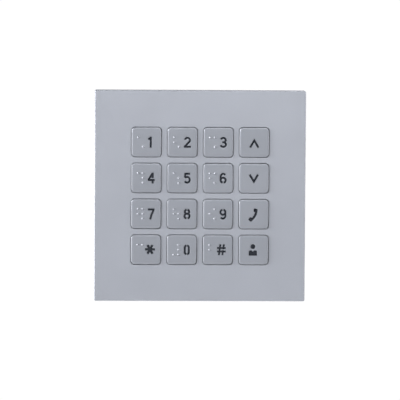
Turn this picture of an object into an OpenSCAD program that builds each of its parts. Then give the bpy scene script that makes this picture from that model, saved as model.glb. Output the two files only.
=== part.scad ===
// Flush keypad module of an access-control and door-entry station: sixteen stencil-cut metal keys
// in a metal panel, over a silicone dome mat, a keypad board and a plastic rear housing.
// X is to the right, Z is up and the front looks towards -Y. The origin is the centre of the four
// frame screws, on the plane where the back of the panel's rim seats on its frame.

/* [Front panel] */
// Width and height of the square panel
panel_size = 113; // [113:0.5:120]
// Depth of the rim, from the front face to the seat
rim_depth = 10; // [9.5:0.5:12]
// Thickness of the panel's face
face_t = 2.5; // [2:0.1:2.8]
// Thickness of the rim's walls
rim_wall = 2; // [1.5:0.1:2.5]
// Radius of the panel's corners
panel_corner_r = 0.8; // [0.5:0.1:1.5]
// Chamfer around the front edge
edge_chamfer = 0.2; // [0.1:0.05:0.8]

/* [Keys] */
// Distance between key centres
key_pitch = 19.25; // [19.25:0.01:19.4]
// Width and height of a key cap
key_size = 15.75; // [15.5:0.05:15.9]
// Gap between a cap and its opening
key_gap = 0.3; // [0.2:0.05:0.35]
// Radius of a cap's corners
key_corner_r = 1.8; // [1.2:0.1:2.4]
// How far a cap stands out of the panel's face
key_proud = 0.6; // [0.3:0.1:1]
// How far a key travels when it is pressed
key_travel = 1; // [0.6:0.1:1.2]

/* [Legends] */
// Width of a numeral's stroke
stroke_w = 1.05; // [0.8:0.05:1.1]
// Height of a numeral
numeral_h = 5.85; // [5:0.05:6.2]
// Width of a numeral
numeral_w = 3.75; // [3.4:0.05:4]
// Distance of a numeral's centre to the right of its key's centre
numeral_shift = 2.7; // [2.5:0.1:3]
// Distance between braille dots
braille_pitch = 2.6; // [2.3:0.1:2.8]

/* [Rear housing] */
// Depth of the rear housing behind the seat
housing_depth = 22; // [20:1:30]
// Thickness of the housing's walls
housing_wall = 2; // [1.6:0.1:2]
// Width of the connector bay
bay_w = 58; // [54:1:62]
// Height of the connector bay
bay_h = 22; // [20:1:24]
// Width of the cable channels above and below the bay
channel_w = 15; // [12:1:16]

/* [Hidden] */
KEY_NAMES = [
    "1", "2", "3", "up",
    "4", "5", "6", "down",
    "7", "8", "9", "call",
    "star", "0", "hash", "attendant"
];
$fn = 48;

// Depths along Y, from the front face back to the housing.
y_face = -rim_depth;
y_face_back = y_face + face_t;
flange_play = 0.15;
cap_flange_t = 1;
y_cap_front = y_face - key_proud;
y_cap_flange = y_face_back + flange_play;
y_cap_back = y_cap_flange + cap_flange_t;
cap_top_t = 1.2;
y_cavity = y_cap_front + cap_top_t;
pad_play = 0.05;
mat_h = 4.1;
y_board = y_cap_back + pad_play + mat_h;
board_t = 1.6;
y_board_back = y_board + board_t;
sheet_t = 1.2;
y_sheet = y_board - sheet_t;
seal_t = 1;
y_flange = y_board - 0.8;
flange_t = 1.6;
y_flange_back = y_flange + flange_t;
bay_floor_t = 1.6;
y_bay = 7.6;
y_channel = housing_depth - 9;
embed = 1; // how far ribs and posts start inside the panel's face

// Half widths across the module. The board, the seal and the housing share one eight-sided outline.
panel_half = panel_size / 2;
rim_inner = panel_half - rim_wall;
housing_half = 47;
inner_half = housing_half - housing_wall;
board_half = 44;
corner_reach = 83; // x + z on the housing's cut corners
flange_half = 53.6;
flange_reach = 91.5;
frame_screw_x = 49;
frame_boss_r = 4;
frame_hole_r = 1.25;
frame_hole_depth = 7;
clamp_rib_half = 39.6;
clamp_rib_t = 1.4;
mat_half = 39.3;
board_screw_far = 41.8;
board_screw_near = 22;
housing_screw_far = 50.6;
housing_screw_near = 18;

// Keys
cap_flange_size = key_size + 1.85;
cap_wall = 1.2;
guide_play = 0.1;
stencil_play = 0.03;
legend_recess = 0.05;
numeral_x = (numeral_w - stroke_w) / 2; // half size of a numeral's centre line
numeral_z = (numeral_h - stroke_w) / 2;
numeral_top = numeral_h / 2;
bridge = 11; // half angle that a stencil bridge leaves open in a bowl, in degrees
braille_x = -3.1;
braille_r = 0.65;
braille_h = 0.4;

// Dome mat
dome_ring_r = 8.4;
dome_hole_r = 7.6;
pad_r = 6.2;
contact_r = 2.4;

// Sockets on the board's back
socket_x = 14;
socket_w = 16;
socket_d = 8;
socket_h = 9;
socket_wall = 1;
pin_pitch = 3;
pin_w = 0.8;
pin_tip = 7;

// Places of the parts on the board's back
controller_at = [-22, 0, -27];
controller_size = [9, 9];
driver_at = [0, 0, -26];
driver_size = [5, 6];
inductor_at = [26, 0, 26];
inductor_w = 7;
capacitor_at = [26, 0, -27];
capacitor_r = 3.15;
crystal_at = [-22, 0, -36];
crystal_size = [9.6, 3.8];
led_x = 4; // from a key's centre
// Rows of small chip parts: [start, step, count, size]
chip_rows = [
    [[-34, 20], [3.2, 0], 6, [1.6, 0.8, 0.7]],
    [[-6, -34], [3, 0], 5, [0.8, 1.6, 0.7]],
    [[14, 21], [0, 3.2], 4, [2, 1.25, 1.1]],
    [[-10, -22], [0, -2.6], 4, [1.6, 0.8, 0.7]]
];

// Details of the housing
housing_chamfer = 1;
housing_rib = [1.6, 0.7]; // width and height of a rib on the housing's sides
housing_rib_near = 24;
label_size = [29.4, 19.4];
label_at = [-27, 0, -28];
y_recess = housing_depth - 0.4;
label_t = 0.25;
arrow_at = [-30, 0, 33];

metal_grey = [0.68, 0.70, 0.74];
key_grey = [0.62, 0.64, 0.68];
legend_dark = [0.10, 0.11, 0.14];
silicone = [0.78, 0.79, 0.80];
board_green = [0.07, 0.30, 0.20];
housing_dark = [0.17, 0.18, 0.19];
part_black = [0.06, 0.06, 0.07];
steel = [0.72, 0.72, 0.70];
tin = [0.80, 0.78, 0.70];

// ---- Outlines, drawn in X and Z ----

// Extrudes a flat outline from depth y0 back to depth y1.
module slab(y0, y1)
    translate([0, y1, 0]) rotate([90, 0, 0]) linear_extrude(y1 - y0) children();

function arc(centre, rx, rz, from, to, steps = 10) =
    [for (i = [0:steps]) let (a = from + (to - from) * i / steps)
        [centre[0] + rx * cos(a), centre[1] + rz * sin(a)]];

function rounded_points(w, h, r) = [
    for (q = [0:3])
        let (sx = (q == 0 || q == 3) ? 1 : -1, sz = q < 2 ? 1 : -1)
        each arc([sx * (w / 2 - r), sz * (h / 2 - r)], r, r, 90 * q, 90 * q + 90, 6)
];

module rounded_square(w, r)
    polygon(rounded_points(w, w, r));

// Eight-sided outline: a square of the given half width whose corners are cut where x + z = reach.
module cut_square(half, reach)
    polygon([
        for (q = [0:3], side = [-1, 1])
            let (c = cos(90 * q), s = sin(90 * q), along = side * (reach - half))
            [half * c - along * s, half * s + along * c]
    ]);

// The shared outline of the board, seal and housing, at any half width.
module module_outline(half)
    cut_square(half, corner_reach + (half - housing_half) * sqrt(2));

module ring_outline(outer, inner)
    difference() {
        module_outline(outer);
        module_outline(inner);
    }

// Places its children on each of the four frame screws.
module at_frame_screws()
    for (x = [-1, 1], z = [-1, 1])
        translate([x * frame_screw_x, 0, z * frame_screw_x]) children();

// Places its children at the eight points (far, near) around the module.
module around(far, near)
    for (turn = [0:90:270], side = [-1, 1])
        rotate([0, turn, 0]) translate([far, 0, side * near]) children();

module rod(r, y0, y1)
    translate([0, y1, 0]) rotate([90, 0, 0]) cylinder(r = r, h = y1 - y0);

module block(w, h, y0, y1)
    translate([-w / 2, y0, -h / 2]) cube([w, y1 - y0, h]);

// Pan-head screw with a cross recess: the head stands on y_seat, the shank runs to y_tip.
module pan_screw(head_r, head_h, shank_r, y_seat, y_tip)
    difference() {
        union() {
            rod(head_r, y_seat, y_seat + head_h);
            rod(shank_r, y_tip, y_seat + 0.2);
        }
        for (turn = [0, 90]) rotate([0, turn, 0])
            block(head_r * 1.15, 0.5, y_seat + head_h * 0.4, y_seat + head_h + 1);
    }

function key_x(i) = (i % 4 - 1.5) * key_pitch;
function key_z(i) = (1.5 - floor(i / 4)) * key_pitch;
module at_key(i)
    translate([key_x(i), 0, key_z(i)]) children();

// ---- Legends: stencil strokes, broken so that no island of metal is left loose ----

function unit(v) = v / norm(v);
function normal_of(a, b) = let (d = unit(b - a)) [-d[1], d[0]];
// Sideways step at point i of a path, for a half width of 1, mitred at the corners.
function side_step(p, i) =
    i == 0 ? normal_of(p[0], p[1]) :
    i == len(p) - 1 ? normal_of(p[i - 1], p[i]) :
    let (m = normal_of(p[i - 1], p[i]) + normal_of(p[i], p[i + 1])) m * 2 / (m * m);
// A path with both ends moved outwards.
function longer(p, by) = let (n = len(p) - 1) [
    p[0] - unit(p[1] - p[0]) * by,
    for (i = [1:1:n - 1]) p[i],
    p[n] + unit(p[n] - p[n - 1]) * by
];

module stroke(path, w, grow) {
    p = longer(path, grow);
    last = len(p) - 1;
    polygon(concat(
        [for (i = [0:last]) p[i] + side_step(p, i) * (w / 2 + grow)],
        [for (i = [last:-1:0]) p[i] - side_step(p, i) * (w / 2 + grow)]
    ));
}

bowl_z = numeral_z - numeral_x; // height of the centre of a numeral's round end
zero_x = numeral_x - 0.25; // a zero is narrower than the other numerals
six_paths = [
    concat(arc([0.05, 0.75], numeral_x + 0.05, numeral_z - 0.75, 40, 180),
           arc([0, -bowl_z], numeral_x, numeral_x, 180, 270 - bridge)),
    arc([0, -bowl_z], numeral_x, numeral_x, -90 + bridge, 150, 16)
];
hash_lean = 0.4;
function hash_x(z) = 0.95 + hash_lean * z / numeral_top;

function legend_paths(name) =
    name == "0" ? [
        concat(arc([0, bowl_z], zero_x, numeral_x, 90 + bridge, 180),
               arc([0, -bowl_z], zero_x, numeral_x, 180, 270 - bridge)),
        concat(arc([0, -bowl_z], zero_x, numeral_x, 270 + bridge, 360),
               arc([0, bowl_z], zero_x, numeral_x, 0, 90 - bridge))] :
    name == "1" ? [
        [[-0.4, -numeral_top], [-0.4, numeral_top]],
        [[-0.4, numeral_z + 0.05], [-1.7, numeral_z - 1.05]]] :
    name == "2" ? [
        concat(arc([0, numeral_z - 1.3], numeral_x, 1.3, 168, -32, 14),
               [[-numeral_x + 0.1, -numeral_z + 0.25]]),
        [[-numeral_w / 2, -numeral_z], [numeral_w / 2, -numeral_z]]] :
    name == "3" ? [
        arc([-0.05, numeral_z - 1.18], 1.3, 1.18, 165, -88, 14),
        arc([-0.05, -numeral_z + 1.23], numeral_x + 0.1, 1.23, 88, -165, 14),
        [[-0.6, 0.06], [0.2, 0.06]]] :
    name == "4" ? [
        [[0.75, numeral_top], [0.75, 0]],
        [[0.75, -0.7], [0.75, -numeral_top]],
        [[0.62, numeral_z + 0.1], [-numeral_x - 0.1, -0.95]],
        [[-numeral_w / 2, -1.05], [numeral_w / 2, -1.05]]] :
    name == "5" ? [
        [[-1.5, numeral_z], [1.55, numeral_z]],
        [[-1.05, numeral_z], [-1.22, 0.2]],
        arc([-0.05, -numeral_z + 1.53], numeral_x + 0.05, 1.53, 142, -152, 14)] :
    name == "6" ? six_paths :
    name == "7" ? [
        [[-numeral_w / 2 + 0.15, numeral_z], [numeral_w / 2 - 0.05, numeral_z]],
        [[1.35, numeral_z - 0.1], [0.15, -0.6], [-0.45, -numeral_top]]] :
    name == "8" ? [
        arc([0, numeral_z - 1.15], 1.15, 1.15, 90 + bridge, 450 - bridge, 19),
        arc([0, -numeral_z + 1.3], numeral_x, 1.3, -90 + bridge, 270 - bridge, 19)] :
    name == "9" ? [for (p = six_paths) [for (q = p) -q]] :
    name == "star" ? [for (a = [0, 60, 120]) [[-2.7 * cos(a), -2.7 * sin(a)],
                                             [2.7 * cos(a), 2.7 * sin(a)]]] :
    name == "hash" ? [
        [[-hash_x(numeral_top), -numeral_top], [-hash_x(-numeral_top), numeral_top]],
        [[hash_x(-numeral_top), -numeral_top], [hash_x(-0.27), -0.27]],
        [[hash_x(0.27), 0.27], [hash_x(numeral_top), numeral_top]],
        [[-2.35, -0.95], [2.35, -0.95]],
        [[-2.35, 0.95], [2.35, 0.95]]] :
    name == "up" ? [[[-2.2, -2.1], [0, 1.7], [2.2, -2.1]]] :
    name == "down" ? [[[-2.25, 2.1], [0, -1.7], [2.25, 2.1]]] :
    name == "call" ? [arc([-5.2, 2.7], 6.7, 6.7, 0, -52, 12)] :
    [];

function legend_width(name) =
    name == "star" || name == "call" ? 1.25 :
    name == "up" || name == "down" ? 1.1 :
    name == "hash" ? 1 : stroke_w;

// Where a legend sits from its key's centre.
function legend_centre(name) =
    name == "up" ? [0, -0.6] :
    name == "call" ? [-0.1, -0.3] :
    name == "down" ? [-0.1, 0] :
    name == "attendant" ? [-0.35, 0] :
    name == "star" ? [numeral_shift - 0.5, 0.2] :
    name == "hash" ? [numeral_shift - 0.7, 0.1] : [numeral_shift, 0];

// Head and shoulders of an attendant, with an open collar.
module attendant_shape(grow) {
    shoulder = 2.2 + grow;
    top = -0.2 + grow;
    foot = -3 - grow;
    collar = 0.6 - grow;
    translate([0, 1.85]) circle(r = 1.3 + grow);
    polygon(concat(
        [[shoulder, foot]],
        arc([shoulder - 0.7, top - 0.7], 0.7, 0.7, 0, 90, 6),
        [[collar, top], [0, top - 1.2 * collar], [-collar, top]],
        arc([0.7 - shoulder, top - 0.7], 0.7, 0.7, 90, 180, 6),
        [[-shoulder, foot]]
    ));
}

// Earpiece and mouthpiece at the two ends of the handset's grip.
module handset_ends(grow) {
    end_points = rounded_points(2.1 + 2 * grow, 2 + 2 * grow, 0.65 + grow);
    translate([1.05, 2.35]) rotate(-8) polygon(end_points);
    translate([-1.55, -2.5]) rotate(-46) polygon(end_points);
}

module legend_shape(name, grow)
    translate(legend_centre(name)) {
        for (p = legend_paths(name)) stroke(p, legend_width(name), grow);
        if (name == "attendant") attendant_shape(grow);
        if (name == "call") handset_ends(grow);
    }

// Dots of the braille cell on each key, as [column, row]; row 1 is the top.
BRAILLE = [
    [[0, 1], [1, -1]], [[0, 1], [0, 0], [1, -1]], [[0, 1], [1, 1], [1, -1]], [],
    [[0, 1], [1, 1], [1, 0], [1, -1]], [[0, 1], [1, 0], [1, -1]],
    [[0, 1], [1, 1], [0, 0], [1, -1]], [],
    [[0, 1], [1, 1], [0, 0], [1, 0], [1, -1]], [[0, 1], [0, 0], [1, 0], [1, -1]],
    [[1, 1], [0, 0], [1, -1]], [],
    [[0, 1], [1, 1]], [[0, -1], [1, 1], [1, 0], [1, -1]], [[0, 1], [0, 0]], []
];

module braille_dots(i) {
    ball_r = (braille_r * braille_r + braille_h * braille_h) / (2 * braille_h);
    for (d = BRAILLE[i])
        translate([braille_x + (d[0] - 0.5) * braille_pitch,
                   y_cap_front - braille_h + ball_r, d[1] * braille_pitch])
            intersection() {
                sphere(r = ball_r);
                block(4, 4, -ball_r - 1, -ball_r + braille_h + 0.2);
            }
}

// ---- Parts ----

module front_panel() color(metal_grey)
    difference() {
        union() {
            slab(y_face, y_face_back) rounded_square(panel_size, panel_corner_r);
            slab(y_face + embed, 0) difference() {
                rounded_square(panel_size, panel_corner_r);
                square(2 * rim_inner, center = true);
            }
            slab(y_face + embed, y_sheet) difference() {
                square(2 * clamp_rib_half, center = true);
                square(2 * (clamp_rib_half - clamp_rib_t), center = true);
            }
            slab(y_face + embed, y_flange - seal_t) ring_outline(housing_half - 0.2, inner_half + 0.7);
            at_frame_screws() rod(frame_boss_r, y_face + embed, 0);
            for (turn = [0:90:270]) rotate([0, turn, 0]) {
                translate([rim_inner - 1, 0, frame_screw_x]) block(5, 1.6, y_face + embed, 0);
                translate([rim_inner - 1, 0, -frame_screw_x]) block(5, 1.6, y_face + embed, 0);
            }
            around(board_screw_far, board_screw_near) rod(2.3, y_face + embed, y_board);
            around(housing_screw_far, housing_screw_near) rod(2.4, y_face + embed, y_flange);
        }
        for (i = [0:15]) at_key(i)
            slab(y_face - 1, y_face_back + 1)
                rounded_square(key_size + 2 * key_gap, key_corner_r + key_gap);
        at_frame_screws() rod(frame_hole_r, -frame_hole_depth, 1);
        around(board_screw_far, board_screw_near) rod(0.8, y_face_back + 1, y_board + 1);
        around(housing_screw_far, housing_screw_near) rod(1.05, y_face_back + 0.5, y_flange + 1);
        for (turn = [0:90:270]) rotate([0, turn, 0])
            translate([panel_half, y_face, 0]) rotate([0, 0, 45])
                cube([edge_chamfer * sqrt(2), edge_chamfer * sqrt(2), panel_size + 2], center = true);
    }

// Metal cap with a stencil-cut legend, a hollow back and a flange that holds it behind the panel.
module key_cap(i) color(key_grey)
    at_key(i) {
        difference() {
            union() {
                hull() {
                    slab(y_cap_front, y_cap_front + 0.1) rounded_square(key_size - 0.6, key_corner_r - 0.3);
                    slab(y_cap_front + 0.3, y_cap_flange + 0.1) rounded_square(key_size, key_corner_r);
                }
                slab(y_cap_flange, y_cap_back) rounded_square(cap_flange_size, key_corner_r + 0.6);
            }
            slab(y_cavity, y_cap_back + 1) rounded_square(key_size - 2 * cap_wall, 1);
            slab(y_cap_front - 1, y_cavity + 0.5) legend_shape(KEY_NAMES[i], stencil_play);
        }
        braille_dots(i);
    }

// Smoked plastic light guide: it fills the cap and comes up through the stencil.
module key_light_guide(i) color(legend_dark)
    at_key(i) {
        slab(y_cavity + guide_play, y_cap_back)
            rounded_square(key_size - 2 * (cap_wall + guide_play), 0.9);
        slab(y_cap_front + legend_recess, y_cavity + guide_play + 0.5) legend_shape(KEY_NAMES[i], 0);
    }

// One moulded sheet with a dome, a pad and a carbon-inked contact under each key.
module silicone_mat() color(silicone) {
    difference() {
        slab(y_sheet, y_board) rounded_square(2 * mat_half, 2);
        for (i = [0:15]) at_key(i) rod(dome_ring_r - 0.4, y_sheet - 1, y_board + 1);
    }
    for (i = [0:15]) at_key(i) translate([0, y_board, 0]) rotate([90, 0, 0])
        rotate_extrude() polygon([
            [0, key_travel], [contact_r, key_travel], [contact_r, 2.3], [pad_r - 0.6, 2.3],
            [dome_hole_r, 0.9], [dome_hole_r, 0], [dome_ring_r, 0], [dome_ring_r, sheet_t],
            [dome_hole_r + 0.3, sheet_t], [pad_r, 2.75], [pad_r, mat_h], [0, mat_h]
        ]);
}

module keypad_board() color(board_green)
    difference() {
        slab(y_board, y_board_back) module_outline(board_half);
        around(board_screw_far, board_screw_near) rod(1.1, y_board - 1, y_board_back + 1);
    }

// One light behind each legend, inside the dome.
module backlight_leds() color([0.95, 0.93, 0.80])
    for (i = [0:15]) at_key(i) translate([led_x, 0, 0]) block(1.6, 0.8, y_board - 0.6, y_board);

// A quad flat package and a small-outline package share this: body, and leads on two or four sides.
module chip(body, h, leads, lead_pitch, sides)
    union() {
        block(body[0], body[1], y_board_back + 0.1, y_board_back + h);
        for (turn = sides, n = [0:leads - 1]) {
            reach = body[turn % 180 == 0 ? 0 : 1] / 2 + 0.3;
            rotate([0, turn, 0]) translate([reach, 0, (n - (leads - 1) / 2) * lead_pitch])
                block(1, lead_pitch * 0.45, y_board_back, y_board_back + 0.35);
        }
    }

module controller_chip() color(part_black)
    translate(controller_at) chip(controller_size, 1.5, 12, 0.65, [0, 90, 180, 270]);

module bus_driver_chip() color(part_black)
    translate(driver_at) chip(driver_size, 1.6, 4, 1.27, [0, 180]);

module power_inductor() color([0.20, 0.20, 0.21])
    translate(inductor_at) difference() {
        slab(y_board_back, y_board_back + 3.2) rounded_square(inductor_w, 1.4);
        rod(2.2, y_board_back + 2.9, y_board_back + 4);
    }

module storage_capacitor() color([0.75, 0.76, 0.78])
    translate(capacitor_at) union() {
        slab(y_board_back, y_board_back + 1) rounded_square(2 * capacitor_r + 0.5, 0.5);
        rod(capacitor_r, y_board_back, y_board_back + 6);
    }

module clock_crystal() color(steel)
    translate(crystal_at) slab(y_board_back, y_board_back + 2.4)
        polygon(rounded_points(crystal_size[0], crystal_size[1], crystal_size[1] / 2 - 0.05));

// Chip resistors and capacitors around the packages.
module board_passives() color([0.55, 0.45, 0.32])
    for (row = chip_rows, n = [0:row[2] - 1]) {
        at = row[0] + n * row[1];
        translate([at[0], 0, at[1]])
            block(row[3][0], row[3][1], y_board_back, y_board_back + row[3][2]);
    }

// Shrouded four-pole socket on the board's back, open to the connector bay.
module bus_socket(x) color([0.90, 0.88, 0.82])
    translate([x, 0, 0]) difference() {
        block(socket_w, socket_d, y_board_back, y_board_back + socket_h);
        block(socket_w - 2 * socket_wall, socket_d - 2 * socket_wall,
              y_board_back + 2, y_board_back + socket_h + 1);
        translate([0, 0, socket_d / 2]) block(3, 3, y_board_back + 5, y_board_back + socket_h + 1);
        for (n = [-1.5:1.5]) translate([n * pin_pitch, 0, 0]) {
            block(pin_w + 0.1, pin_w + 0.1, y_board_back - 1, y_board_back + 3);
            translate([0, 0, -socket_d / 4 - 0.4])
                block(pin_w + 0.1, socket_d / 2 + 1, y_board_back - 1, y_board_back + 0.55);
        }
    }

module bus_pins() color(tin)
    for (x = [-socket_x, socket_x], n = [-1.5:1.5]) translate([x + n * pin_pitch, 0, 0]) {
        block(pin_w, pin_w, y_board_back, y_board_back + pin_tip);
        translate([0, 0, -socket_d / 4 - 0.35])
            block(pin_w, socket_d / 2 + 1.5, y_board_back, y_board_back + 0.5);
    }

module board_screws() color(steel)
    around(board_screw_far, board_screw_near)
        pan_screw(1.9, 1.3, 0.78, y_board_back, y_face_back + 1.5);

module panel_seal() color([0.12, 0.12, 0.13])
    slab(y_flange - seal_t, y_flange) ring_outline(housing_half + 0.3, inner_half + 0.4);

// Walls, floor and bay of the housing, before its holes are cut.
module housing_body() {
    slab(y_flange, y_flange_back) difference() {
        cut_square(flange_half, flange_reach);
        module_outline(inner_half);
    }
    difference() {
        slab(y_flange, housing_depth) module_outline(housing_half);
        slab(y_flange - 1, housing_depth - housing_wall) module_outline(inner_half);
        for (turn = [0:45:315])
            rotate([0, turn, 0])
                translate([turn % 90 == 0 ? housing_half : corner_reach / sqrt(2), housing_depth, 0])
                    rotate([0, 0, 45])
                        cube([housing_chamfer * sqrt(2), housing_chamfer * sqrt(2), 3 * housing_half],
                             center = true);
    }
    around(housing_half - 0.5 + housing_rib[1] / 2, housing_rib_near)
        block(housing_rib[1] + 1, housing_rib[0], y_flange + 1, housing_depth - 2 * housing_chamfer);
    block(bay_w + 2 * bay_floor_t, bay_h + 2 * bay_floor_t, y_bay - bay_floor_t, housing_depth - 0.5);
    block(channel_w + 2 * bay_floor_t, 2 * inner_half + 1, y_channel - bay_floor_t, housing_depth - 0.5);
}

// Arrow sunk in the housing's back: it points to the module's top.
module up_arrow()
    polygon([[0, 4], [3.2, -0.5], [1.1, -0.5], [1.1, -4], [-1.1, -4], [-1.1, -0.5], [-3.2, -0.5]]);

module rear_housing() color(housing_dark)
    difference() {
        housing_body();
        block(bay_w, bay_h, y_bay, housing_depth + 1);
        block(channel_w, 2 * housing_half + 4, y_channel, housing_depth + 1);
        for (x = [-socket_x, socket_x]) translate([x, 0, 0])
            block(socket_w + 0.4, socket_d + 0.4, y_bay - bay_floor_t - 1, y_bay + 1);
        around(housing_screw_far, housing_screw_near) rod(1.4, y_flange - 1, y_flange_back + 1);
        translate(label_at)
            block(label_size[0] + 0.6, label_size[1] + 0.6, y_recess, housing_depth + 1);
        translate(arrow_at) slab(y_recess, housing_depth + 1) up_arrow();
    }

module housing_screws() color(steel)
    around(housing_screw_far, housing_screw_near)
        pan_screw(2.2, 1.2, 1.02, y_flange_back, y_face_back + 1.5);

// Blank plate in the housing's recess.
module rating_label() color([0.85, 0.86, 0.87])
    translate(label_at) block(label_size[0], label_size[1], y_recess, y_recess + label_t);

front_panel();
silicone_mat();
keypad_board();
backlight_leds();
board_passives();
controller_chip();
bus_driver_chip();
power_inductor();
storage_capacitor();
clock_crystal();
bus_socket(-socket_x);  // bus_in_socket
bus_socket(socket_x);  // bus_out_socket
bus_pins();
board_screws();
panel_seal();
rear_housing();
housing_screws();
rating_label();
for (i = [0:15]) {
    key_cap(i);
    key_light_guide(i);
}
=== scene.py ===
"""Looks of a flush metal keypad module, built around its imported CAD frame.

Everything is in metres in the frame's own axes: X to the right, Z up, the front towards -Y.
Places and sizes are read from the CAD nodes, and the legends' outlines from the cut key caps.
"""

import math

import bmesh
import bpy
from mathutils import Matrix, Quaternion, Vector
from mathutils.geometry import delaunay_2d_cdt


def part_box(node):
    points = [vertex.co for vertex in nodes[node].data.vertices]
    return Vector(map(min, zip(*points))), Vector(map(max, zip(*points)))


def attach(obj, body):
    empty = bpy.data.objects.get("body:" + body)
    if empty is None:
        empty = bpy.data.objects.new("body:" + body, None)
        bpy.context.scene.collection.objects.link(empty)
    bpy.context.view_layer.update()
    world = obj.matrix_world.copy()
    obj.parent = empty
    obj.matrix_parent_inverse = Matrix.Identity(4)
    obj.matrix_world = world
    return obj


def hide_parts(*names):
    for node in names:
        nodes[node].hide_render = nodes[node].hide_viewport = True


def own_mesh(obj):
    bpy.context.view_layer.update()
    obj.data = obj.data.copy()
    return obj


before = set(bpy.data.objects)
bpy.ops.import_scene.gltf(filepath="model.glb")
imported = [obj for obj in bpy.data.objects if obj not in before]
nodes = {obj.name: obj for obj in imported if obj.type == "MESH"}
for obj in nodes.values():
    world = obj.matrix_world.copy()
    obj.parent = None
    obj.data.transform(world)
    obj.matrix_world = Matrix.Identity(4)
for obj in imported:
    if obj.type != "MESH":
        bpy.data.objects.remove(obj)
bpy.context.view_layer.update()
scene = bpy.context.scene

MM = 0.001
WELD = 0.0004 * MM  # points of a new piece closer than this become one
CAD_WELD = 0.0005 * MM  # the same, in a copy of a CAD mesh
HARD_EDGE = 35  # degrees between faces above which an edge is shaded hard
ROOT = "module"
KEYS = [name[len("key_"):-len("_cap")] for name in nodes if name.endswith("_cap")]


# ---- Camera, light and floor ----

def make_camera():
    """A long lens, a little above and to the left of the panel's middle."""
    azimuth, elevation, roll = (math.radians(a) for a in (-2.1, 4.1, 0.35))
    distance = 2.0
    target = Vector((0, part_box("front_panel")[0].y, -2.1 * MM))
    back = Vector((
        math.sin(azimuth) * math.cos(elevation),
        -math.cos(azimuth) * math.cos(elevation),
        math.sin(elevation),
    ))
    data = bpy.data.cameras.new("camera")
    data.sensor_width = 36
    data.lens = 336
    data.clip_start, data.clip_end = 0.05, 20
    camera = bpy.data.objects.new("camera", data)
    scene.collection.objects.link(camera)
    camera.rotation_mode = "QUATERNION"
    camera.location = target + back * distance
    camera.rotation_quaternion = (-back).to_track_quat("-Z", "Y") @ Quaternion((0, 0, 1), roll)
    scene.camera = camera


def area_light(name, place, aim, size, power):
    data = bpy.data.lights.new(name, "AREA")
    data.shape = "RECTANGLE"
    data.size, data.size_y = size
    data.energy = power
    light = bpy.data.objects.new(name, data)
    scene.collection.objects.link(light)
    light.location = place
    light.rotation_mode = "QUATERNION"
    light.rotation_quaternion = (Vector(aim) - Vector(place)).to_track_quat("-Z", "Y")


def make_lights():
    """A strong low light from the left, a fill from the right, a near one above and one behind."""
    middle = (0, 0, 0)
    area_light("left_light", (-1.95, -0.4, 0.5), middle, (0.9, 0.9), 230)
    area_light("right_light", (1.8, -0.9, 0.1), middle, (0.8, 0.8), 36)
    area_light("front_light", (0.1, -0.55, 0.38), (0, 0, 0.04), (0.4, 0.2), 6.6)
    area_light("rear_light", (0.5, 1.1, 0.8), middle, (0.8, 0.8), 8)


def make_world():
    """White to look at; as a light, brightest at eye level and dimmer above and below."""
    world = bpy.data.worlds.new("studio")
    scene.world = world
    world.use_nodes = True
    t = Tree(world.node_tree)
    height = t.node("ShaderNodeSeparateXYZ", Vector=t.node("ShaderNodeTexCoord")["Generated"])["Z"]
    level = t.ramp(height, -1, 1, [
        (0, (0.10, 0.103, 0.11)), (0.5, (0.24, 0.246, 0.26)), (1, (0.22, 0.226, 0.24)),
    ])
    seen = t.node("ShaderNodeBackground", Color=(1, 1, 1, 1), Strength=1.02)
    lit = t.node("ShaderNodeBackground", Color=level, Strength=1.0)
    is_seen = t.node("ShaderNodeLightPath")["Is Camera Ray"]
    out = t.node("ShaderNodeMixShader", Fac=is_seen)
    t.join(lit["Background"], out.raw.inputs[1])
    t.join(seen["Background"], out.raw.inputs[2])
    t.join(out["Shader"], t.tree.nodes.new("ShaderNodeOutputWorld").inputs["Surface"])


def make_floor():
    """A pale round floor well below the module, as it hangs at eye level. It fades to white."""
    radius, depth = 6.0, 0.25
    bm = bmesh.new()
    bmesh.ops.create_circle(bm, cap_ends=True, segments=96, radius=radius)
    floor = piece_from(bm, "floor", floor_material())
    floor.location = (0, 0, -depth)


# ---- Material tools ----

class Node:
    """A shader node whose outputs are read by name."""

    def __init__(self, raw):
        self.raw = raw

    def __getitem__(self, output):
        return next(s for s in self.raw.outputs if s.name == output and s.enabled)


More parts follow.
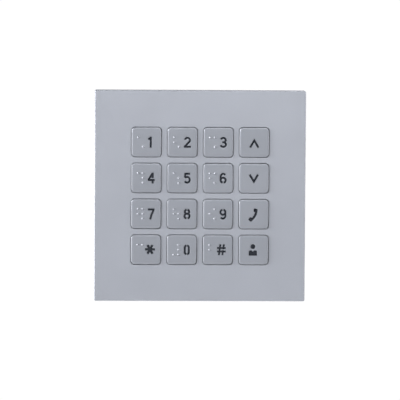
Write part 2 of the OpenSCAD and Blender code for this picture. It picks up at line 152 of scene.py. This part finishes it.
class Tree:
    """Short calls for building a node tree."""

    def __init__(self, tree):
        self.tree = tree
        tree.nodes.clear()

    def join(self, source, target):
        self.tree.links.new(source, target)

    def node(self, kind, settings=None, **inputs):
        raw = self.tree.nodes.new(kind)
        for key, value in (settings or {}).items():
            setattr(raw, key, value)
        for key, value in inputs.items():
            socket = next(s for s in raw.inputs if s.name == key.replace("_", " ") and s.enabled)
            if isinstance(value, bpy.types.NodeSocket):
                self.join(value, socket)
            else:
                socket.default_value = value
        return Node(raw)

    def noise(self, scale, detail=2.0, roughness=0.5):
        at = self.node("ShaderNodeTexCoord")["Object"]
        made = self.node("ShaderNodeTexNoise", Vector=at, Scale=scale, Detail=detail, Roughness=roughness)
        return made.raw.outputs[0]

    def cells(self, scale):
        at = self.node("ShaderNodeTexCoord")["Object"]
        return self.node("ShaderNodeTexVoronoi", Vector=at, Scale=scale)["Distance"]

    def spread(self, value, low, high, from_low=0.3, from_high=0.7):
        made = self.node("ShaderNodeMapRange", Value=value)
        for socket, number in zip(made.raw.inputs[1:5], (from_low, from_high, low, high)):
            socket.default_value = number
        return made["Result"]

    def ramp(self, value, low, high, stops):
        share = self.spread(value, 0, 1, low, high)
        raw = self.node("ShaderNodeValToRGB", Fac=share).raw
        for _ in stops[2:]:
            raw.color_ramp.elements.new(0.5)
        for element, (place, colour) in zip(raw.color_ramp.elements, stops):
            element.position = place
            element.color = (*colour, 1)
        return raw.outputs["Color"]

    def blend(self, share, first, second):
        raw = self.tree.nodes.new("ShaderNodeMix")
        raw.data_type = "RGBA"
        self.join(share, raw.inputs["Factor"])
        for socket, colour in zip([s for s in raw.inputs if s.type == "RGBA"], (first, second)):
            socket.default_value = (*colour, 1)
        return next(s for s in raw.outputs if s.type == "RGBA")

    def total(self, *values):
        result = values[0]
        for value in values[1:]:
            made = self.node("ShaderNodeMath", {"operation": "ADD"})
            self.join(result, made.raw.inputs[0])
            self.join(value, made.raw.inputs[1])
            result = made["Value"]
        return result

    def bump(self, height, depth, strength=1.0):
        return self.node("ShaderNodeBump", Height=height, Distance=depth, Strength=strength)["Normal"]

    def surface(self, **inputs):
        shader = self.node("ShaderNodeBsdfPrincipled", **inputs)
        self.join(shader["BSDF"], self.tree.nodes.new("ShaderNodeOutputMaterial").inputs["Surface"])


def material(name):
    made = bpy.data.materials.new(name)
    made.use_nodes = True
    return made, Tree(made.node_tree)


def satin_metal(name, colour, roughness):
    """Bead-blasted metal under a satin coat: partly metallic, with a soft grain and slight clouds."""
    made, t = material(name)
    grain = t.noise(5200, 3, 0.6)
    clouds = t.noise(45, 3, 0.55)
    tone = t.total(t.spread(grain, -0.07, 0.07), t.spread(clouds, -0.02, 0.02))
    dark = tuple(c * 0.82 for c in colour)
    light = tuple(min(1, c * 1.18) for c in colour)
    base = t.ramp(tone, -0.25, 0.25, [(0, dark), (1, light)])
    rough = t.total(t.spread(grain, roughness - 0.03, roughness + 0.03),
                    t.spread(clouds, -0.02, 0.02))
    t.surface(Base_Color=base, Metallic=0.4, Roughness=rough, Normal=t.bump(grain, 0.012 * MM, 0.35))
    return made


def moulded_plastic(name, colour, roughness, texture=900, depth=0.03, clear=0.0, shine=0.5):
    """Moulded plastic with a spark-eroded texture and slight flow marks."""
    made, t = material(name)
    pits = t.noise(texture, 4, 0.6)
    flow = t.noise(30, 2, 0.5)
    light = tuple(min(1, c * 1.3 + 0.004) for c in colour)
    dark = tuple(c * 0.85 for c in colour)
    base = t.ramp(t.total(t.spread(pits, -0.3, 0.3), t.spread(flow, -0.3, 0.3)), -1, 1,
                  [(0, dark), (1, light)])
    rough = t.spread(flow, roughness - 0.05, roughness + 0.05)
    t.surface(Base_Color=base, Roughness=rough, Coat_Weight=clear, Coat_Roughness=0.15,
              Specular_IOR_Level=shine, Normal=t.bump(pits, depth * MM, 0.5))
    return made


def smoked_guide_material():
    """Smoked polycarbonate seen from its polished end."""
    made, t = material("smoked_guide")
    haze = t.noise(700, 3, 0.5)
    base = t.ramp(haze, 0.3, 0.7, [(0, (0.004, 0.005, 0.007)), (1, (0.008, 0.009, 0.012))])
    t.surface(Base_Color=base, Roughness=t.spread(haze, 0.24, 0.34), Specular_IOR_Level=0.15,
              Normal=t.bump(haze, 0.004 * MM, 0.4))
    return made


def silicone_material():
    made, t = material("silicone")
    mottle = t.noise(160, 3, 0.5)
    dust = t.noise(3500, 2, 0.5)
    base = t.ramp(mottle, 0.3, 0.7, [(0, (0.50, 0.51, 0.52)), (1, (0.60, 0.61, 0.62))])
    t.surface(Base_Color=base, Roughness=t.spread(dust, 0.5, 0.62), Subsurface_Weight=0.35,
              Subsurface_Scale=2 * MM, Subsurface_Radius=(1.0, 1.0, 1.0),
              Normal=t.bump(dust, 0.01 * MM, 0.3))
    return made


def circuit_board_material():
    """Solder mask over tracks that run across in some square patches and up in the others."""
    made, t = material("circuit_board")
    at = t.node("ShaderNodeTexCoord")["Object"]
    across, up = (
        t.node("ShaderNodeTexWave", {"bands_direction": axis}, Vector=at, Scale=330)["Fac"]
        for axis in "ZX"
    )
    patch = t.node("ShaderNodeTexVoronoi", {"distance": "CHEBYCHEV"}, Vector=at, Scale=110)["Color"]
    way = t.spread(t.node("ShaderNodeSeparateColor", Color=patch)["Red"], 0, 1, 0.49, 0.51)
    lines = t.node("ShaderNodeMix", Factor=way, A=across, B=up)["Result"]
    track = t.spread(lines, 0, 1, 0.62, 0.72)
    base = t.blend(track, (0.010, 0.062, 0.032), (0.012, 0.105, 0.052))
    t.surface(Base_Color=base, Roughness=t.spread(t.noise(90), 0.22, 0.36), Coat_Weight=0.4,
              Coat_Roughness=0.2, Normal=t.bump(track, 0.02 * MM, 0.4))
    return made


def plated_metal(name, colour, roughness, scratch=700, evenness=0.8):
    """Plated steel, a drawn can or tinned brass: fine scratches and a patchy shine."""
    made, t = material(name)
    patches = t.noise(350, 3, 0.6)
    lines = t.noise(scratch, 5, 0.7)
    base = t.ramp(patches, 0.3, 0.7, [(0, tuple(c * evenness for c in colour)), (1, colour)])
    t.surface(Base_Color=base, Metallic=1.0, Roughness=t.spread(lines, roughness - 0.08, roughness + 0.1),
              Normal=t.bump(lines, 0.01 * MM, 0.3))
    return made


def seal_material():
    """Closed-cell foam rubber."""
    made, t = material("seal_rubber")
    pores = t.cells(2200)
    base = t.ramp(pores, 0.1, 0.7, [(0, (0.006, 0.006, 0.007)), (1, (0.022, 0.022, 0.024))])
    t.surface(Base_Color=base, Roughness=t.spread(t.noise(400), 0.75, 0.9),
              Normal=t.bump(pores, 0.05 * MM, 0.6))
    return made


def passives_material():
    """Ceramic and resistive chips of several kinds, told apart by where they sit."""
    made, t = material("passives")
    kind = t.noise(190, 0)
    base = t.ramp(kind, 0.35, 0.65, [(0, (0.30, 0.19, 0.09)), (1, (0.03, 0.03, 0.035))])
    speckle = t.noise(2500, 2)
    t.surface(Base_Color=base, Roughness=t.spread(speckle, 0.4, 0.6), Normal=t.bump(speckle, 0.01 * MM, 0.3))
    return made


def floor_material():
    """Pale near the module and white further out, so that it meets the white surroundings."""
    made, t = material("floor")
    at = t.node("ShaderNodeTexCoord")["Object"]
    reach = t.node("ShaderNodeVectorMath", {"operation": "LENGTH"}, Vector=at)["Value"]
    far = t.spread(reach, 0, 1, 0.3, 1.0)
    speck = t.noise(60, 3)
    base = t.ramp(speck, 0.3, 0.7, [(0, (0.86, 0.86, 0.86)), (1, (0.89, 0.89, 0.89))])
    pale = t.node("ShaderNodeBsdfDiffuse", Color=base)
    white = t.node("ShaderNodeEmission", Color=(1, 1, 1, 1), Strength=1.02)
    mixed = t.node("ShaderNodeMixShader", Fac=far)
    t.join(pale["BSDF"], mixed.raw.inputs[1])
    t.join(white["Emission"], mixed.raw.inputs[2])
    t.join(mixed["Shader"], t.tree.nodes.new("ShaderNodeOutputMaterial").inputs["Surface"])
    return made


# ---- Mesh tools ----

def piece_from(bm, name, finish):
    """A smooth-shaded object from bm, with hard edges where faces meet at a steep angle."""
    bmesh.ops.remove_doubles(bm, verts=bm.verts, dist=WELD)
    bmesh.ops.recalc_face_normals(bm, faces=bm.faces)
    for face in bm.faces:
        face.smooth = True
    for edge in bm.edges:
        edge.smooth = len(edge.link_faces) == 2 and edge.calc_face_angle(0) < math.radians(HARD_EDGE)
    mesh = bpy.data.meshes.new(name)
    bm.to_mesh(mesh)
    bm.free()
    mesh.materials.append(finish)
    made = bpy.data.objects.new(name, mesh)
    scene.collection.objects.link(made)
    return made


def rounded_ring(centre, half, radius, steps=10):
    """Points (x, z) around a rounded square."""
    ring = []
    for quarter, (sx, sz) in enumerate([(1, 1), (-1, 1), (-1, -1), (1, -1)]):
        for step in range(steps + 1):
            turn = math.radians(90 * (quarter + step / steps))
            ring.append((
                centre[0] + sx * (half - radius) + radius * math.cos(turn),
                centre[1] + sz * (half - radius) + radius * math.sin(turn),
            ))
    return ring


def circle_ring(centre, radius, steps=24):
    turns = [math.tau * s / steps for s in range(steps)]
    return [(centre[0] + radius * math.cos(a), centre[1] + radius * math.sin(a)) for a in turns]


def area_of(ring):
    pairs = zip(ring, ring[1:] + ring[:1])
    return sum(a[0] * b[1] - b[0] * a[1] for a, b in pairs) / 2


def grown(ring, by):
    """The ring moved outwards by a distance, along the mitre at each of its points."""
    side = 1 if area_of(ring) > 0 else -1
    shortest = 0.6  # keeps the mitre from growing long at sharp points
    moved = []
    for i, point in enumerate(ring):
        before, here, after = Vector(ring[i - 1]), Vector(point), Vector(ring[(i + 1) % len(ring)])
        first, second = (here - before).normalized(), (after - here).normalized()
        normal = Vector((first.y + second.y, -first.x - second.x)) * side
        mitre = normal / max(shortest, normal.length_squared / 2)
        moved.append(tuple(here + mitre * by))
    return moved


def inside(point, ring):
    x, z = point
    crossings = 0
    for (ax, az), (bx, bz) in zip(ring, ring[1:] + ring[:1]):
        if (az > z) != (bz > z) and x < (bx - ax) * (z - az) / (bz - az) + ax:
            crossings += 1
    return crossings % 2 == 1


def fill(bm, outer, holes, height, spacing=None):
    """Fills the flat region between outer and its holes; height gives y at a point (x, z)."""
    rings = [outer] + holes
    points, edges = [], []
    for ring in rings:
        start = len(points)
        points += [Vector(p) / MM for p in ring]
        edges += [(start + i, start + (i + 1) % len(ring)) for i in range(len(ring))]
    if spacing:
        points += [Vector(p) / MM for p in grid_points(outer, holes, spacing)]
    whole, tolerance = 0, 1e-5
    flat, _, faces, *_ = delaunay_2d_cdt(points, edges, [], whole, tolerance)
    made = [bm.verts.new((p.x * MM, height(p.x * MM, p.y * MM), p.y * MM)) for p in flat]
    for face in faces:
        middle = sum((flat[i] for i in face), Vector((0, 0))) / len(face) * MM
        if inside(middle, outer) and not any(inside(middle, hole) for hole in holes):
            bm.faces.new([made[i] for i in face])
    for vert in made:
        if not vert.link_faces:
            bm.verts.remove(vert)


def grid_points(outer, holes, spacing):
    """Points on a square grid inside outer, clear of every ring."""
    xs = [p[0] for p in outer]
    zs = [p[1] for p in outer]
    rings = [outer] + holes
    clear = spacing * 0.45
    found = []
    for i in range(1, int((max(xs) - min(xs)) / spacing) + 1):
        for j in range(1, int((max(zs) - min(zs)) / spacing) + 1):
            point = (min(xs) + i * spacing, min(zs) + j * spacing)
            near = any(math.dist(point, p) < clear for ring in rings for p in ring)
            if not near and inside(point, outer) and not any(inside(point, h) for h in holes):
                found.append(point)
    return found


def skin(bm, rings):
    """Joins rings of 3-D points, all with the same count, by strips of quads."""
    rows = [[bm.verts.new(p) for p in ring] for ring in rings]
    for low, high in zip(rows, rows[1:]):
        for i in range(len(low)):
            j = (i + 1) % len(low)
            bm.faces.new((low[i], low[j], high[j], high[i]))


def at_depth(ring, y):
    """The flat ring as 3-D points; y is a depth, or a function of x and z."""
    return [(x, y(x, z) if callable(y) else y, z) for x, z in ring]


def fillet(radius, steps=5):
    """Pairs (inset, depth) along a quarter round, from the face to the wall."""
    turns = [math.radians(90 * s / steps) for s in range(steps + 1)]
    return [(radius * (1 - math.sin(a)), radius * (1 - math.cos(a))) for a in turns]


def cad_mesh(node):
    """An editable copy of a CAD node's mesh, with its points joined."""
    bm = bmesh.new()
    bm.from_mesh(nodes[node].data)
    bmesh.ops.remove_doubles(bm, verts=bm.verts, dist=CAD_WELD)
    return bm


def boundary_rings(node, y):
    """The outlines of a CAD node's flat face at depth y, as rings (x, z), the largest first."""
    level = 0.002 * MM
    bm = cad_mesh(node)
    # The keys of a dict keep the mesh's order. A set's order would differ from run to run.
    on_face = dict.fromkeys(f for f in bm.faces if all(abs(v.co.y - y) < level for v in f.verts))
    following = {}
    for face in on_face:
        for loop in face.loops:
            if not any(f in on_face and f is not face for f in loop.edge.link_faces):
                following[loop.vert] = loop.link_loop_next.vert
    rings = []
    while following:
        start = vert = next(iter(following))
        ring = []
        while vert in following:
            ring.append((vert.co.x, vert.co.z))
            vert = following.pop(vert)
        if vert is start:
            rings.append(ring)
    bm.free()
    return sorted(rings, key=lambda r: -abs(area_of(r)))


def middle_of(ring):
    xs, zs = [p[0] for p in ring], [p[1] for p in ring]
    return (min(xs) + max(xs)) / 2, (min(zs) + max(zs)) / 2


def half_width(ring):
    xs = [p[0] for p in ring]
    return (max(xs) - min(xs)) / 2


# ---- Keys ----

CAP_CHAMFER = 0.3 * MM  # on the CAD cap's front edge
CORNER_R = 1.8 * MM
EDGE_R = 0.42 * MM
EDGE_DROP = 0.03 * MM  # how far the cap's face falls towards its edges
TOP_T = 1.2 * MM
WALL_T = 1.2 * MM
CAVITY_R = 1.0 * MM
CAVITY_CHAMFER = 0.2 * MM
FLANGE_T = 1.0 * MM
FLANGE_R = CORNER_R + 0.6 * MM
FACE_GRID = 0.9 * MM  # spacing of the points that carry the face's curve
STENCIL_EDGE = 0.05 * MM
DOT_R = 0.65 * MM
DOT_LIMIT = 0.8 * MM  # an outline that reaches further from its middle is part of a legend
GUIDE_R = 0.9 * MM
GUIDE_CHAMFER = 0.15 * MM
GUIDE_RECESS = 0.05 * MM
LEGEND_PLAY = 0.03 * MM
LEGEND_CHAMFER = 0.04 * MM
PLAY = 0.1 * MM
y_cap, y_cap_back = (corner.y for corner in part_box("key_up_cap"))
y_face, y_rim = (corner.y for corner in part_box("front_panel"))


def key_parts(key):
    """Centre, half width, legend outlines and braille dots of a key, from its CAD cap."""
    outer, *holes = boundary_rings(f"key_{key}_cap", y_cap)
    dots = [h for h in holes if is_dot(h)]
    legend = [h for h in holes if not is_dot(h)]
    return middle_of(outer), half_width(outer) + CAP_CHAMFER, legend, [middle_of(d) for d in dots]


def is_dot(ring):
    """Whether an outline is small and round, as a braille dot's foot is."""
    centre = middle_of(ring)
    reach = [math.dist(p, centre) for p in ring]
    return max(reach) < DOT_LIMIT and min(reach) > 0.9 * max(reach)


def crown(centre, half):
    """Depth of a cap's face: level in the middle and slightly lower along its edges."""
    def depth(x, z):
        across, up = (x - centre[0]) / half, (z - centre[1]) / half
        return y_cap + EDGE_DROP * min(1.3, across ** 4 + up ** 4)
    return depth


def make_cap(key, finish):
    """The hollow cap, with its rounded edge, stencil-cut legend, braille dots and flange."""
    centre, half, legend, dots = key_parts(key)
    depth = crown(centre, half)
    bm = bmesh.new()
    edge = [
        (rounded_ring(centre, half - inset, CORNER_R - inset), back) for inset, back in fillet(EDGE_R)
    ]
    openings = [grown(ring, STENCIL_EDGE) for ring in legend]
    bases = [circle_ring(dot, DOT_R) for dot in dots]
    fill(bm, edge[0][0], openings + bases, depth, FACE_GRID)
    y_shoulder = y_cap_back - FLANGE_T
    outline = rounded_ring(centre, half, CORNER_R)
    flange_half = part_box(f"key_{key}_cap")[1].x - centre[0]
    flange = rounded_ring(centre, flange_half, FLANGE_R)
    flange_in = rounded_ring(centre, flange_half - PLAY, FLANGE_R - PLAY)
    cavity = rounded_ring(centre, half - WALL_T, CAVITY_R)
    cavity_in = rounded_ring(centre, half - WALL_T - CAVITY_CHAMFER, CAVITY_R - CAVITY_CHAMFER)
    skin(bm, [at_depth(ring, lambda x, z, b=back: depth(x, z) + b) for ring, back in edge]
         + [at_depth(outline, y_shoulder), at_depth(flange_in, y_shoulder),
            at_depth(flange, y_shoulder + PLAY), at_depth(flange, y_cap_back - PLAY),
            at_depth(flange_in, y_cap_back), at_depth(cavity, y_cap_back),
            at_depth(cavity, y_cap + TOP_T + CAVITY_CHAMFER), at_depth(cavity_in, y_cap + TOP_T)])
    fill(bm, cavity_in, legend, lambda x, z: y_cap + TOP_T)
    shoulder = 0.3 * STENCIL_EDGE
    for ring, opening in zip(legend, openings):
        skin(bm, [at_depth(opening, depth),
                  at_depth(grown(ring, shoulder), lambda x, z: depth(x, z) + shoulder),
                  at_depth(ring, lambda x, z: depth(x, z) + STENCIL_EDGE),
                  at_depth(ring, y_cap + TOP_T)])
    for dot in dots:
        braille_dot(bm, dot, depth(*dot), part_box(f"key_{key}_cap")[0].y)
    cap = piece_from(bm, f"key_{key}_cap_fine", finish)
    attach(cap, f"key_{key}")
    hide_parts(f"key_{key}_cap")


def braille_dot(bm, centre, y_foot, y_tip):
    """A low dome with a flowing foot."""
    steps, fullness = 8, 1.35
    rings = []
    for step in range(steps):
        out = 1 - step / steps
        rise = 0.5 + 0.5 * math.cos(math.pi * out ** fullness)
        rings.append(at_depth(circle_ring(centre, DOT_R * out), y_foot + (y_tip - y_foot) * rise))
    skin(bm, rings)
    top = [bm.verts.new(p) for p in rings[-1]]
    tip = bm.verts.new((centre[0], y_tip, centre[1]))
    for i, vert in enumerate(top):
        bm.faces.new((vert, top[(i + 1) % len(top)], tip))


def make_guide(key, finish):
    """The smoked insert: a block in the cap's hollow with the legend standing on it."""
    centre, half, legend, _ = key_parts(key)
    depth = crown(centre, half)
    bm = bmesh.new()
    block_half = half - WALL_T - PLAY
    block = rounded_ring(centre, block_half, GUIDE_R)
    block_in = rounded_ring(centre, block_half - GUIDE_CHAMFER, GUIDE_R - GUIDE_CHAMFER)
    feet = [grown(ring, -LEGEND_PLAY) for ring in legend]
    y_block = y_cap + TOP_T + PLAY
    fill(bm, block_in, feet, lambda x, z: y_block)
    skin(bm, [at_depth(block_in, y_block), at_depth(block, y_block + GUIDE_CHAMFER),
              at_depth(block, y_cap_back - GUIDE_CHAMFER), at_depth(block_in, y_cap_back)])
    fill(bm, block_in, [], lambda x, z: y_cap_back)
    for ring in feet:
        face = grown(ring, -LEGEND_CHAMFER)
        skin(bm, [at_depth(ring, y_block),
                  at_depth(ring, lambda x, z: depth(x, z) + GUIDE_RECESS + LEGEND_CHAMFER),
                  at_depth(face, lambda x, z: depth(x, z) + GUIDE_RECESS)])
        fill(bm, face, [], lambda x, z: depth(x, z) + GUIDE_RECESS)
    guide = piece_from(bm, f"key_{key}_light_guide_fine", finish)
    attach(guide, f"key_{key}")
    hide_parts(f"key_{key}_light_guide")


# ---- CAD nodes with softened edges ----

def soften(node, width, finish, segments=3, wanted=lambda edge: True):
    """A copy of a CAD node on the same body, with its sharp outer edges rounded where wanted."""
    level, sharp_above = math.radians(0.5), math.radians(30)
    bm = cad_mesh(node)
    bmesh.ops.dissolve_limit(bm, angle_limit=level, verts=bm.verts, edges=bm.edges)
    share = bm.edges.layers.float.new("bevel_weight_edge")
    for edge in bm.edges:
        sharp = len(edge.link_faces) == 2 and edge.calc_face_angle(0) > sharp_above
        edge[share] = 1.0 if sharp and edge.is_convex and wanted(edge) else 0.0
    rounded = piece_from(bm, f"{node}_fine", finish)
    bevel = rounded.modifiers.new("edges", "BEVEL")
    bevel.width = width
    bevel.segments = segments
    bevel.limit_method = "WEIGHT"
    bevel.harden_normals = True
    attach(rounded, ROOT)
    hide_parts(node)
    return rounded


def at_face_or_rim(edge):
    """The panel's visible edges: those of its front face and chamfer, and its rim's rear edges."""
    front_reach, rear_reach = 0.5 * MM, 0.01 * MM
    depths = [v.co.y for v in edge.verts]
    return max(depths) < y_face + front_reach or min(depths) > y_rim - rear_reach


def long_edge(edge):
    """An edge of the housing's own shape, and not one of its small details."""
    return edge.calc_length() > 4 * MM


def paint(node, finish):
    """Gives a CAD node its material and leaves its shape as it is."""
    mesh = nodes[node].data
    mesh.materials.clear()
    mesh.materials.append(finish)


# ---- Dome mat ----

MAT_T = 1.2 * MM
MAT_R = 2 * MM
DOME_R = 8 * MM
DOME_STEPS = 48


def dome_profile(height):
    """Pairs (radius, height) in mm down the dome's inside, over its foot and up to its top."""
    inner = [(0, 1.0), (2.3, 1.0), (2.4, 1.1), (2.4, 2.3), (5.6, 2.3), (7.55, 0.95), (7.6, 0.85)]
    foot = [(7.6, 0.05), (7.65, 0), (7.95, 0), (8.0, 0.05), (8.0, 1.15), (7.95, 1.2), (7.9, 1.2)]
    skirt = [(6.25, 2.7), (6.2, 2.8)]
    top = [(6.2, height - 0.15), (6.05, height), (0, height)]
    return inner + foot + skirt + top


def make_mat(finish):
    """The sheet and the dome under each key are all fixed to the module; each dome has a mesh of its own."""
    low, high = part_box("silicone_mat")
    y_foot = high.y
    y_sheet = y_foot - MAT_T
    centres = {key: key_parts(key)[0] for key in KEYS}
    holes = [circle_ring(centre, DOME_R, DOME_STEPS) for centre in centres.values()]
    outer = rounded_ring((0, 0), high.x, MAT_R)
    bm = bmesh.new()
    for y in (y_sheet, y_foot):
        fill(bm, outer, holes, lambda x, z, y=y: y)
    for ring in [outer] + holes:
        skin(bm, [at_depth(ring, y_sheet), at_depth(ring, y_foot)])
    sheet = piece_from(bm, "silicone_sheet", finish)
    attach(sheet, ROOT)
    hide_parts("silicone_mat")
    height = y_foot - low.y
    pole_r = 0.001  # mm, the radius of the pinhole left at each end of the profile
    for key, centre in centres.items():
        bm = bmesh.new()
        skin(bm, [
            at_depth(circle_ring(centre, max(r, pole_r) * MM, DOME_STEPS), y_foot - h * MM)
            for r, h in dome_profile(height / MM)
        ])
        dome = piece_from(bm, f"silicone_dome_{key}", finish)
        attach(dome, ROOT)
        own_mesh(dome)


# ---- The whole module ----

make_camera()
make_world()
make_lights()
make_floor()

key_metal = satin_metal("satin_key", (0.109, 0.1155, 0.131), 0.42)
guide_plastic = smoked_guide_material()
for key in KEYS:
    make_cap(key, key_metal)
    make_guide(key, guide_plastic)
make_mat(silicone_material())

panel_metal = satin_metal("satin_panel", (0.137, 0.1445, 0.163), 0.45)
soften("front_panel", 0.2 * MM, panel_metal, wanted=at_face_or_rim)
black = moulded_plastic("housing_plastic", (0.008, 0.009, 0.010), 0.55, 1100, 0.05, shine=0.25)
soften("rear_housing", 0.3 * MM, black, wanted=long_edge)
nylon = moulded_plastic("socket_plastic", (0.72, 0.69, 0.60), 0.42, 1800, 0.01)
for socket in ("bus_in_socket", "bus_out_socket"):
    soften(socket, 0.12 * MM, nylon)
brass = plated_metal("tinned_brass", (0.78, 0.75, 0.66), 0.25)
soften("bus_pins", 0.1 * MM, brass, 2)
zinc = plated_metal("plated_steel", (0.62, 0.62, 0.60), 0.30)
for screws in ("board_screws", "housing_screws"):
    soften(screws, 0.12 * MM, zinc)
soften("clock_crystal", 0.15 * MM, zinc)
soften("panel_seal", 0.15 * MM, seal_material())
film = plated_metal("label_film", (0.70, 0.71, 0.72), 0.38, 250, 0.95)
soften("rating_label", 0.05 * MM, film, 2)
resin = moulded_plastic("chip_resin", (0.012, 0.012, 0.013), 0.45, 1500, 0.02)
for chip in ("controller_chip", "bus_driver_chip"):
    paint(chip, resin)
ferrite = moulded_plastic("ferrite", (0.03, 0.03, 0.032), 0.6, 1400, 0.03)
soften("power_inductor", 0.15 * MM, ferrite)
aluminium = plated_metal("capacitor_can", (0.70, 0.71, 0.73), 0.28)
soften("storage_capacitor", 0.15 * MM, aluminium)
paint("keypad_board", circuit_board_material())
paint("backlight_leds", moulded_plastic("led", (0.80, 0.74, 0.42), 0.2, 900, 0.005, 0.5))
paint("board_passives", passives_material())

scene.view_settings.view_transform = "Standard"
